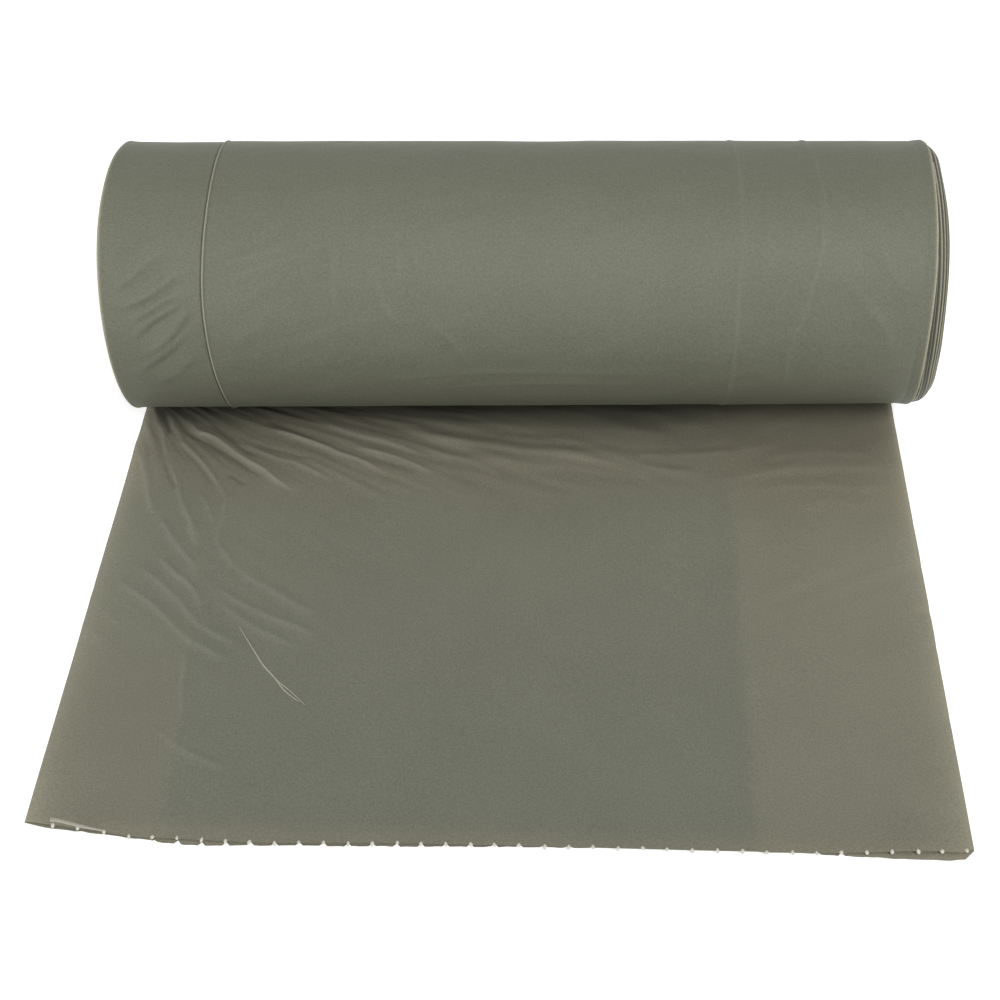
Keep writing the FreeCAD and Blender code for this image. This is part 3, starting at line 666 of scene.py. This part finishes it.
# Folds of the loose bag: points as (distance from the left fold, distance from the roll's
# middle), then height, width and lean. A negative height is a groove.
FOLDS_BY_THE_ROLL = [
    ([(4, 28), (5, 34), (8, 42), (11, 47), (13, 53), (16, 62), (18.5, 69)], 0.86, 0.83, 0.3),
    ([(17, 66), (21, 75), (24, 80.5), (27, 88), (30, 96), (34, 106), (37, 111), (40, 120),
      (47, 132)], 0.68, 0.86, 0.3),
    ([(12, 30), (16, 43), (20, 50), (24, 57), (30, 64), (36, 71), (41, 78), (46.5, 86),
      (51, 94)], 0.96, 1.12, 0.35),
    ([(46, 86), (51.5, 94), (52.5, 102), (53, 110), (51.8, 118), (54.5, 127), (61, 137),
      (67, 145)], 0.62, 0.75, 0.2),
    ([(22, 36), (29, 48), (36, 51.5), (41, 54.5), (46, 59), (52, 64.5), (58, 69.5), (63, 73),
      (68, 76.4), (74, 82), (80.5, 87), (88, 92)], 1.52, 1.25, 0.35),
    ([(44, 51), (52, 57), (60, 61), (68, 64.7), (75, 68), (82, 70), (89, 74), (98, 79),
      (108, 86)], 0.5, 1.2, 0.3),
    ([(62, 44), (74, 49), (80, 51.5), (86, 54), (93, 57.3), (99, 60), (105, 63.5), (114, 67),
      (122, 72), (131, 79)], 1.06, 1.38, 0.35),
    ([(88, 38), (97, 43), (107, 48), (117, 51.6), (128, 55), (140, 60), (150, 66)], 0.74, 1.67, 0.3),
    ([(110, 58), (120, 61), (129, 63.7), (137, 67), (146, 72), (154, 77)], 0.69, 1.09, 0.3),
    ([(124, 38), (140, 45), (148, 49.3), (157, 51.3), (165, 52.8), (173, 54.3), (184, 56.3), (194, 58),
      (204, 59.3), (214, 60.5), (225, 62.8), (235, 64.7), (250, 68)], 1.3, 3.9, 0.35),
    ([(144, 57), (158, 63), (166, 65), (175, 69), (181, 73), (188, 78)], 0.5, 2.0, 0.3),
    ([(176, 62), (190, 66), (204, 69), (218, 72)], 0.37, 2.58, 0.3),
    ([(196, 38), (220, 44), (244, 49), (268, 52)], 0.51, 5.81, 0.3),
    ([(246, 58), (262, 59.4), (275, 59.5), (285, 58.8), (296, 57), (308, 54),
      (322, 50)], 0.55, 3.9, 0.3),
    ([(236, 62), (250, 65), (258, 68), (266, 70), (276, 71.5), (288, 71.6)], 0.44, 2.9, 0.3),
    ([(288, 78), (301, 75.5), (310, 72.5), (318, 70.2), (328, 68.3), (340, 67), (351, 66), (364, 65.4),
      (377, 65.8), (385, 66)], 0.6, 4.3, 0.3),
    ([(316, 62), (330, 58), (346, 56), (362, 57), (380, 58)], 0.37, 3.48, 0.3),
    ([(300, 86), (320, 81), (340, 79), (360, 80), (384, 78)], 0.33, 3.78, 0.3),
    ([(330, 96), (342, 90), (356, 90), (372, 94)], 0.22, 3.78, 0.2),
]
GROOVES_BY_THE_ROLL = [
    ([(8, 30), (10.6, 37), (14, 45), (16.7, 52)], -1.08, 0.89, 0),
    ([(16, 34), (19.4, 41.7), (23.4, 47.7), (29.4, 52.7), (35, 56), (41.7, 60.6), (46.6, 64),
      (52.5, 68.6), (58.5, 73.5), (63.6, 77.5), (69.4, 81.4)], -1.28, 0.83, 0),
    ([(21.5, 57), (23.6, 60), (29.9, 67), (35.4, 73), (41, 81), (47, 89)], -0.61, 0.80, 0),
    ([(17, 70), (21.5, 79.5), (25, 86), (29, 91)], -0.61, 0.80, 0),
    ([(34, 40), (41, 47), (47.5, 53), (55, 61), (66, 68.5)], -0.81, 1.26, 0),
    ([(58, 54), (67, 59.6), (76.6, 62.5), (85, 66), (93, 68)], -0.61, 1.08, 0),
    ([(63, 39.6), (71, 43.5), (78.6, 47), (85, 50), (92, 54.3)], -1.08, 1.26, 0),
    ([(50, 78), (55, 82), (61, 87)], -0.54, 0.89, 0),
    ([(135, 39.7), (147.7, 44.2), (162, 47.8), (172.6, 49.6), (183, 51.4), (193, 53.4), (203.5, 55.2),
      (219, 57.5), (234, 59.3)], -0.5, 2.9, 0),
    ([(149, 54.4), (157, 58), (166, 61), (174, 63)], -0.32, 2.4, 0),
    ([(116, 63), (123, 66), (131, 69), (139, 72), (147, 76)], -0.32, 1.19, 0),
    ([(242, 57.7), (258, 57.4), (274, 56.4), (291, 54.5), (313, 51.7)], -0.45, 3.1, 0),
    ([(249, 62.5), (258, 65), (266, 66.8), (274, 68), (284, 68.6)], -0.25, 2.6, 0),
]
RIDGES_ON_THE_LEFT = [
    ([(6, 148), (16.4, 155.5), (24.6, 161.5), (32, 167.5), (39, 175), (46.6, 182.5), (51, 186),
      (58, 190.3), (65.5, 195), (74, 199.5)], 0.72, 1.12, 0.3),
    ([(14, 139), (20, 143.2), (28, 149.5), (36, 157), (42, 163.3), (47, 169.6), (52.4, 175.8),
      (60, 181.3), (68, 185.5), (76, 190.5)], 0.65, 1.06, 0.3),
    ([(20, 107), (24, 112.6), (30, 122), (37, 131.5), (44, 139.4), (48.5, 145)], 0.72, 1.19, 0.3),
    ([(25, 134), (30.5, 139.7), (36.7, 146), (42.8, 151), (47.2, 156), (50.6, 162.3),
      (52.8, 168)], 0.86, 0.99, 0.4),
    ([(55, 152), (60.7, 156.6), (67.6, 161.5), (75.6, 166.3), (84, 170.8), (94.5, 175.2), (101, 178),
      (110, 182.5)], 0.58, 1.06, 0.3),
    ([(55, 158), (60, 162), (66, 168), (72.5, 173.6), (82, 179.4), (91, 184),
      (103, 191)], 0.53, 0.99, 0.3),
    ([(62, 139), (67, 143), (74, 149.3), (82, 154), (90.6, 160), (100, 166),
      (110, 170)], 0.41, 1.25, 0.3),
    ([(5, 181), (8, 185), (11, 188.5)], 0.34, 0.79, 0.2),
    ([(7, 169), (12, 173.5), (17, 178)], 0.38, 0.92, 0.2),
    ([(42, 235), (46.5, 236.5), (56.7, 244.6), (67.4, 250.2), (81, 256.5)], 0.53, 0.75, 0.3),
    ([(48.5, 187), (50.3, 195), (51, 204), (51.6, 212), (53.5, 220), (55, 232)], 0.53, 0.99, 0.1),
    ([(41, 193), (43, 202), (44, 212)], 0.26, 0.92, 0.2),
    ([(33, 100), (38, 112), (44, 124)], 0.49, 1.06, 0.3),
    ([(3, 60), (8, 78), (14, 96), (20, 112)], 0.69, 1.72, 0.2),
    ([(39, 92), (45, 103), (49, 114)], 0.44, 0.86, 0.2),
]


def loose_folds(u, v, crest=1.0):
    """Height of the sharp folds in the loose bag."""
    folds = FOLDS_BY_THE_ROLL + GROOVES_BY_THE_ROLL + RIDGES_ON_THE_LEFT
    return fold_field(u, v, folds, 0.22, crest)


def loose_relief(u, v):
    """Height of the folds in the loose bag: strong by the roll, soft towards the torn edge.

    A groove is no deeper than the air under the upper ply.
    """
    h = 0.12 * value_noise(u, v, 32, 21) + 0.03 * value_noise(u, v, 12, 22) + loose_folds(u, v)
    fan = np.arctan2(v, u + 20) * 110
    out = np.hypot(v, u + 20)
    by_roll = smoothstep(100, 60, v + 12 * value_noise(u, v, 40, 24)) * smoothstep(330, 250, u)
    h += 0.46 * by_roll * wrinkles(fan, out, 3.4, 9, 25) + 0.26 * by_roll * wrinkles(fan, out, 1.9, 10, 26)
    slanted = (v - 0.8 * u) / 1.28
    downhill = (u + 0.8 * v) / 1.28
    on_left = smoothstep(96, 140, v) * smoothstep(232, 190, v) * smoothstep(150, 90, u)
    h += 0.12 * on_left * wrinkles(slanted, downhill, 4.2, 8, 27)
    rising = (v + 0.55 * (u - 300)) / 1.14
    on_right = smoothstep(285, 320, u) * smoothstep(220, 150, v)
    h += 0.16 * on_right * wrinkles(rising, u, 6.0, 6, 28)
    # Short nips in the right fold
    for at, deep in ((158, 0.3), (179, 0.3), (218, 0.2)):
        h += crease(u, v, [(387, at), (382, at + 1.5), (378, at + 4)], -deep, 2.4, 0, 0.1)
    return np.where(h < -0.4, -0.4 - 0.33 * np.tanh((-0.4 - h) / 0.4), h)


def tick_columns(first, last):
    """Stations across the film: close together at each torn bond and even between them."""
    stations = []
    for number in range(-2, TICK_COUNT + 2):
        middle = FIRST_TICK + number * TICK_PITCH
        stations += [middle + d for d in (-1.5, -0.7, 0, 0.7, 1.5, 2.6, 3.8, 5.0, 6.1, 7.3)]
    inside = [s for s in stations if first + 0.5 < s < last - 0.5]
    return np.array([first] + inside + [last])


def notch(u, depth, width):
    """Depth of the torn notches along the edge at u."""
    middle = FIRST_TICK + np.round((u - FIRST_TICK) / TICK_PITCH) * TICK_PITCH
    return depth * np.clip(1 - np.abs(u - middle) / width, 0, 1)


def place_loose(u, v, z):
    """Point of the loose bag in the frame, from its place across (u) and along (v) the film."""
    across = u - FILM_WIDTH / 2 - SPREAD * (1 - u / FILM_WIDTH)
    x = MIDDLE_X + across * math.cos(TAIL_TURN) + v * math.sin(TAIL_TURN)
    y = AXIS_Y + across * math.sin(TAIL_TURN) - v * math.cos(TAIL_TURN)
    return np.stack([x, y, z], axis=-1)


def plies_under(u):
    """Height at which the upper ply lies: three plies in the middle and two at the sides."""
    over_lowest = smoothstep(LOWER_FLAP - 3, LOWER_FLAP + 3, u)
    over_middle = 1 - smoothstep(MIDDLE_FLAP - 2, MIDDLE_FLAP + 2, u)
    return 1.7 + 0.5 * over_lowest * over_middle


def upper_height(u, v):
    """Height of the upper ply's surface."""
    # The torn edge gapes over the right flaps and curls up at the left corner
    gape = 1.3 * np.exp(-(((u - 362) / 14) ** 2)) * smoothstep(262, 287, v)
    curl = 0.7 * np.exp(-(((u - 22) / 13) ** 2)) * smoothstep(274, 287, v)
    fold = np.minimum(u, FILM_WIDTH - u)
    round_side = -0.9 * (1 - smoothstep(0, 2.2, fold))
    lying = smoothstep(292, 268, v) * smoothstep(2, 16, v)
    return plies_under(u) + loose_relief(u, v) * lying + gape + curl + round_side


def film_sheet(name, columns, rows, height, edge, shades):
    """One ply as a sheet: columns across the film, rows from the roll to the torn edge."""
    u = np.repeat(columns[None, :], len(rows), axis=0)
    share = rows[:, None] / rows[-1]
    v = share * edge(columns)[None, :]
    points = place_loose(u, v, height(u, v)).reshape(-1, 3)
    faces = [f[::-1] for f in grid_faces(len(rows), len(columns))]
    layers = {label: shade(u, v).reshape(-1) for label, shade in shades.items()}
    piece = mesh_piece(name, points, faces, film_painted_lighter, layers)
    return piece


def free_edge_below(v):
    """Where the lowest ply's free edge shows through the upper one."""
    return LOWER_FLAP - 2 + 0.07 * np.maximum(v - 190, 0)


def upper_painted_glow(u, v):
    """Painted glow of light through the upper ply: deep over three plies, paler over two, at the side
    folds and where air lifts it, with a painted highlight at the left corner and a painted sheen along the
    torn edge.
    """
    edge = free_edge_below(v)
    over_two_left = (1 - smoothstep(edge - 3, edge + 2, u)) * smoothstep(150, 215, v)
    over_two_right = smoothstep(MIDDLE_FLAP - 5, MIDDLE_FLAP + 4, u) * smoothstep(60, 120, v)
    rim = np.minimum(u, FILM_WIDTH - u)
    glow = (0.34 + 0.2 * smoothstep(160, 60, v)) * np.exp(-rim / 4.5)
    glow += 0.14 * np.exp(-rim / 16.0) * smoothstep(60, 200, v)
    corner = 0.22 * np.exp(-u / 22) * smoothstep(240, 288, v)
    near = 0.1 * smoothstep(278, 288, v)
    base = 0.05 * over_two_left + 0.1 * over_two_right
    air = 0.08 * smoothstep(260, 90, v) * smoothstep(40, 90, v)
    return np.clip(base + glow + corner + near + air, 0, 1)


def upper_whitening_and_highlight(u, v):
    """Crests of the folds, where the film is stretched white, with a painted highlight along them."""
    return np.clip(0.1 * loose_folds(u, v, 0.7), 0, 0.12)


def upper_painted_shade(u, v):
    """Painted shade on the upper ply in its grooves, and a painted shadow where the roll keeps the light
    off it.
    """
    under_roll = 0.62 * smoothstep(56, 25, v) * smoothstep(350, 250, u) * smoothstep(0, 14, u)
    return np.clip(-0.34 * loose_folds(u, v, 0.8), 0, 0.4) + under_roll


def upper_lifted(u, v):
    """Where air has lifted the upper ply off the others, so that it looks brownish."""
    edge = free_edge_below(v)
    by_roll = smoothstep(118, 66, v + 9 * value_noise(u, v, 26, 33))
    right = smoothstep(MIDDLE_FLAP - 7, MIDDLE_FLAP + 5, u) * 0.45
    left = smoothstep(edge + 2, edge - 5, u) * smoothstep(150, 215, v) * 0.45
    near = 0.5 * smoothstep(274, 288, v)
    return np.clip(by_roll * 0.85 + right + left + near, 0, 1)


def even(value):
    """A shade that is the same all over a sheet."""
    def shade(u, v):
        return np.full(u.shape, value)
    return shade


def middle_height(u, v):
    """Height of the middle ply, which follows the step in the ply over it."""
    return 0.62 + 0.28 * (plies_under(u) - 1.2)


def middle_edge(u):
    """Distance to the torn edge of the middle ply, just behind the one of the lowest."""
    return lower_edge(u) - 0.35


def lowest_height(u, v):
    """Height of the lowest ply, which lifts a little towards its torn edge."""
    return 0.3 + 0.25 * smoothstep(250, TAIL_REACH, v)


def make_loose_bag():
    """The first bag: upper ply with both side folds, and the two plies folded in under it."""
    # The rows are closest where the sharp folds by the roll are
    rows = np.concatenate([
        np.linspace(0, 24, 7, endpoint=False), np.linspace(24, 112, 122, endpoint=False),
        np.linspace(112, 234, 82, endpoint=False), np.linspace(234, 260, 17, endpoint=False),
        np.linspace(260, 282, 7, endpoint=False), np.linspace(282, TAIL_REACH, 9),
    ])
    film_sheet(
        "loose_bag_upper_ply", tick_columns(0.0, FILM_WIDTH), rows, upper_height, torn_edge,
        {
            "painted_glow": upper_painted_glow, "lifted": upper_lifted, "painted_shade": upper_painted_shade,
            "whitening_and_highlight": upper_whitening_and_highlight,
        },
    )
    flap_rows = np.concatenate([
        np.linspace(0, 255, 26, endpoint=False), np.linspace(255, TAIL_REACH, 20),
    ])
    # The plies under it are painted pale: a painted glow of light through a single ply
    film_sheet(
        "loose_bag_middle_ply", tick_columns(0.0, MIDDLE_FLAP), flap_rows, middle_height, middle_edge,
        {"painted_glow": even(0.32), "lifted": even(1.0)},
    )
    film_sheet(
        "loose_bag_lowest_ply", tick_columns(LOWER_FLAP, FILM_WIDTH), flap_rows, lowest_height,
        lower_edge, {"painted_glow": even(0.42), "lifted": even(1.0)},
    )


def make_side_fold(name, u_edge, outward, low):
    """Round side fold that joins the upper ply to the ply folded under it."""
    rows = np.concatenate([np.linspace(0, 24, 7, endpoint=False), np.linspace(24, 285, 180)])
    angles = np.radians(np.linspace(-90, 90, 11))
    v = rows / rows[-1] * float(torn_edge(u_edge))
    top = upper_height(np.full(v.shape, float(u_edge)), v)
    middle, half = (top + low) / 2, (top - low) / 2
    loops = [
        place_loose(u_edge + outward * 0.7 * half * math.cos(a), v, middle + half * math.sin(a))
        for a in angles
    ]
    points = np.stack(loops, axis=1).reshape(-1, 3)
    faces = grid_faces(len(rows), len(angles))
    if outward > 0:
        faces = [f[::-1] for f in faces]
    # The fold is painted pale: a painted glow of light through it, which also lightens the shade on its
    # sideways faces
    return mesh_piece(name, points, faces, film_painted_lighter, {"painted_glow": np.full(len(points), 0.8)})


def small_patches(name, patches, rise, attributes):
    """Small raised pieces of film, each a grid of points given as (u, v) with a crowned middle."""
    points, faces = [], []
    for grid in patches:
        grid = np.asarray(grid, float)
        rows, columns = grid.shape[:2]
        u, v = grid[..., 0], grid[..., 1]
        crown = np.sin(np.linspace(0, math.pi, columns))[None, :] * rise
        z = upper_height(u, np.minimum(v, torn_edge(u))) + 0.06 + crown
        drop = np.maximum(v - torn_edge(u), 0)
        z = np.maximum(z - 0.5 * drop, 0.4)
        faces += [f[::-1] for f in grid_faces(rows, columns, first=len(points))]
        points += list(place_loose(u, v, z).reshape(-1, 3))
    layers = {label: np.full(len(points), value) for label, value in attributes.items()}
    return mesh_piece(name, np.array(points), faces, film_painted_lighter, layers)


def bond_place(number):
    """Place of a torn bond across the film; the first ones have pulled to the left."""
    return FIRST_TICK + number * TICK_PITCH - 3.4 * math.exp(-number / 2.2)


def make_torn_bonds():
    """The torn bonds of the perforation, drawn out until the film turned white."""
    rng = np.random.default_rng(41)
    patches = []
    for number in range(TICK_COUNT):
        u = bond_place(number) + rng.uniform(-0.3, 0.3)
        lean = rng.uniform(-0.3, 0.3)
        v = float(torn_edge(u)) - rng.uniform(0.9, 1.3)
        long = rng.uniform(1.6, 2.3)
        half = rng.uniform(0.6, 0.85)
        steps = np.linspace(0, 1, 7)
        width = half * np.sqrt(np.clip(1 - (2 * steps - 1) ** 2, 0.04, 1))
        patches.append([
            [(u + side * w + lean * t, v + long * t) for side in (-1, -0.5, 0, 0.5, 1)]
            for t, w in zip(steps, width)
        ])
    small_patches("torn_bonds", patches, 0.35, {"painted_glow": 1.0, "whitening_and_highlight": 0.95})


def make_pinch():
    """A hard crease that was nipped into the film and turned white along its crest."""
    main = curve_points([(72.3, 177.5), (79.5, 188.5), (86.2, 198.8), (92.3, 205.8), (98.3, 213.4),
                         (105.4, 219.3)], 10)
    branch = curve_points([(90.5, 203.8), (95.0, 208.6), (100.6, 213.4), (108.1, 220.7)], 8)
    patches = []
    for path, half in ((main, 0.3), (branch, 0.2)):
        tangent = np.gradient(path, axis=0)
        tangent /= np.linalg.norm(tangent, axis=1)[:, None]
        across = np.column_stack([-tangent[:, 1], tangent[:, 0]])
        taper = np.sin(np.linspace(0.08, math.pi - 0.08, len(path))) ** 0.5
        patches.append([
            [tuple(p + a * side * half * t) for side in (-1, -0.35, 0.35, 1)]
            for p, a, t in zip(path, across, taper)
        ])
    small_patches("pinched_crease", patches, 0.25, {"painted_glow": 0.8, "whitening_and_highlight": 0.3})


def make_turned_strip():
    """Sliver of the torn edge that is turned back on itself at the left corner."""
    back = curve_points([(10.5, 280.9), (14.3, 281.5), (24.6, 284.2), (33.5, 286.2)], 6)
    front = curve_points([(10.9, 283.0), (15.5, 283.6), (23.6, 285.6), (34.0, 287.0)], 6)
    grid = [[tuple(a * (1 - t) + b * t) for t in (0, 0.25, 0.5, 0.75, 1)] for a, b in zip(back, front)]
    # The sliver is painted pale and whitish: a painted highlight on its curl
    small_patches("turned_back_strip", [grid], 0.3, {"painted_glow": 0.5, "whitening_and_highlight": 0.35})


def add_sun(name, to_the_right, elevation, strength):
    """Broad distant light, given in degrees to the right of the camera side and above the floor."""
    data = bpy.data.lights.new(name, "SUN")
    data.energy = strength
    data.angle = math.radians(26)
    lamp = bpy.data.objects.new(name, data)
    side, rise = math.radians(to_the_right), math.radians(elevation)
    shining = Vector((-math.sin(side) * math.cos(rise), math.cos(side) * math.cos(rise), -math.sin(rise)))
    lamp.rotation_euler = shining.to_track_quat("-Z", "Y").to_euler()
    bpy.context.scene.collection.objects.link(lamp)


def make_stage():
    """White floor, world and lights."""
    reach, below = 6.0, -0.2 * MM
    mesh = bpy.data.meshes.new("floor")
    corners = [(-reach, -reach), (reach, -reach), (reach, reach), (-reach, reach)]
    mesh.from_pydata([(x, y, below) for x, y in corners], [], [(0, 1, 2, 3)])
    floor = bpy.data.objects.new("floor", mesh)
    floor.data.materials.append(white_surround("matt_white_paint", 0.6))
    bpy.context.scene.collection.objects.link(floor)
    world = bpy.data.worlds.new("soft_room")
    bpy.context.scene.world = world
    world.use_nodes = True
    tree = world.node_tree
    tree.nodes.clear()
    path = add_node(tree, "ShaderNodeLightPath")
    seen = add_node(
        tree, "ShaderNodeMath", {"operation": "MAXIMUM"},
        {0: path.outputs["Is Camera Ray"], 1: path.outputs["Is Transmission Ray"]},
    )
    shown = add_node(
        tree, "ShaderNodeMath", {"operation": "MAXIMUM"},
        {0: seen.outputs[0], 1: path.outputs["Is Glossy Ray"]},
    )
    level = add_node(
        tree, "ShaderNodeMapRange", {"To Min": 0.33, "To Max": 1.0}, {"Value": shown.outputs[0]}
    )
    sky = add_node(
        tree, "ShaderNodeBackground", {"Color": (1, 1, 1, 1)}, {"Strength": level.outputs["Result"]}
    )
    add_node(tree, "ShaderNodeOutputWorld", {}, {"Surface": sky.outputs[0]})
    add_sun("window_on_the_right", 30, 50, 1.66)
    add_sun("low_fill_on_the_left", -25, 14, 0.74)
    add_sun("ceiling", 0, 85, 0.31)


def make_camera():
    """Camera at the photograph's place, fitted to the outlines of the roll and the loose bag."""
    yaw, pitch, roll = (math.radians(a) for a in (-2.203, 47.307, -1.799))
    ahead = Vector((
        math.sin(yaw) * math.cos(pitch), math.cos(yaw) * math.cos(pitch), -math.sin(pitch)
    ))
    level = Vector((math.cos(yaw), -math.sin(yaw), 0))
    up = level.cross(ahead)
    right = level * math.cos(roll) + up * math.sin(roll)
    above = up * math.cos(roll) - level * math.sin(roll)
    data = bpy.data.cameras.new("camera")
    data.sensor_width = 36.0
    data.lens = 55.81
    data.shift_x = 0.0039
    data.shift_y = 0.0428
    camera = bpy.data.objects.new("camera", data)
    place = Vector((MIDDLE_X + 8.8, AXIS_Y - 622.0, 544.4)) * MM
    turn = Matrix((right, above, -ahead)).transposed().to_4x4()
    camera.matrix_world = Matrix.Translation(place) @ turn
    bpy.context.scene.collection.objects.link(camera)
    bpy.context.scene.camera = camera


make_camera()
make_stage()
make_roll()
make_turns("right_end_turns", 1)
make_turns("left_end_turns", -1)
make_loose_bag()
make_side_fold("left_side_fold", 0.0, -1, 0.5)
make_side_fold("right_side_fold", FILM_WIDTH, 1, 0.4)
make_torn_bonds()
make_pinch()
make_turned_strip()

bpy.context.scene.view_settings.view_transform = "Standard"
